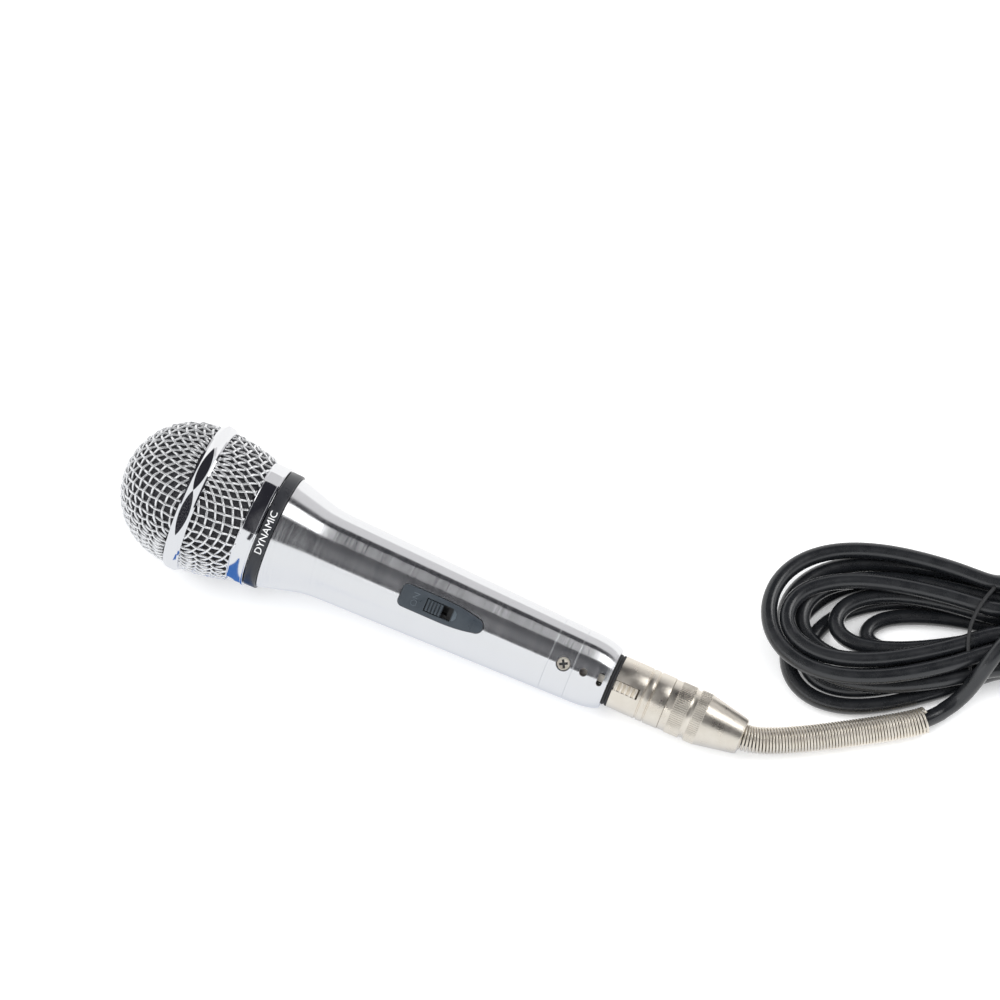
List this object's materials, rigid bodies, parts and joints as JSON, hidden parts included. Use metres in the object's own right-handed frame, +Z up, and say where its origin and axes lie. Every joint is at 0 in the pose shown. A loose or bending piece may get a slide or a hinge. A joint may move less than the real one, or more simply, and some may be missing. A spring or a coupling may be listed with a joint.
{
  "type": "dynamic microphone",
  "caption": "Handheld dynamic microphone with a wire-mesh ball grille, tapered metal handle with a slide switch, and a plug-in cable with a spring relief and a tied hank.",
  "frame": {"origin": "on the table, under the middle of the microphone's own box without its free cable", "axes": "+X runs from the grille to the cable end of the microphone, level with the table; +Z is up"},
  "size_m": [0.3658, 0.169, 0.0514],
  "materials": {
    "chrome": "bright polished plating with faint turning lines",
    "grille_wire": "plated woven wire",
    "nickel": "satin nickel plating, slightly warm",
    "black_trim": "glossy black",
    "black_plastic": "satin black moulding",
    "black_rubber": "matt black rubber",
    "cable_jacket": "satin black cable jacket",
    "tie_plastic": "matt black plastic-covered wire",
    "foam": "open-cell dark foam",
    "capsule_steel": "dull plated steel",
    "coil_copper": "lacquered copper",
    "diaphragm_film": "thin amber film"
  },
  "bodies": {
    "microphone": {"handle": "chrome", "trim_ring": "black_trim", "capsule_cap": "capsule_steel", "capsule_housing": "black_plastic", "diaphragm": "diaphragm_film", "voice_coil": "coil_copper", "magnet": "capsule_steel", "magnet_yoke": "capsule_steel", "shock_mount": "black_rubber", "switch_plate": "black_plastic", "switch_body": "black_plastic", "xlr_insert": "black_plastic", "xlr_pin_1": "nickel", "xlr_pin_2": "nickel", "xlr_pin_3": "nickel", "tail_screw": "chrome", "wire_hot": "coil_copper", "wire_ground": "coil_copper"},
    "grille": {"grille_dome": "grille_wire", "grille_band": "chrome", "grille_basket": "grille_wire", "grille_collar": "chrome", "foam_liner": "foam"},
    "switch": {"switch_slider": "black_plastic"},
    "connector": {"tail_ring": "black_rubber", "connector_shell": "nickel", "connector_insert": "black_plastic", "connector_contact_1": "nickel", "connector_contact_2": "nickel", "connector_contact_3": "nickel", "connector_boot": "nickel", "cable_chuck": "black_plastic", "relief_spring": "nickel", "cord_run": "cable_jacket", "cord_hank": "cable_jacket", "cable_tie": "tie_plastic", "cord_tail": "cable_jacket", "jack_relief": "black_rubber", "jack_barrel": "nickel", "jack_sleeve": "nickel", "jack_insulator": "black_plastic", "jack_tip": "nickel"},
    "latch": {"connector_latch": "nickel"}
  },
  "joints": [
    {"name": "switch_slide", "type": "slide", "parent": "microphone", "child": "switch", "axis": [0.9933, 0.0138, -0.115], "range_m": [0, 0.0032]},
    {"name": "grille_lift", "type": "slide", "parent": "microphone", "child": "grille", "axis": [-0.9959, 0, 0.0903], "range_m": [0, 0.045]},
    {"name": "connector_pull", "type": "slide", "parent": "microphone", "child": "connector", "axis": [0.9959, 0, -0.0903], "range_m": [0, 0.02]},
    {"name": "latch_press", "type": "slide", "parent": "connector", "child": "latch", "axis": [-0.079, 0.4848, -0.871], "range_m": [0, 0.0005], "stiffness_N_per_m": 2000}
  ]
}
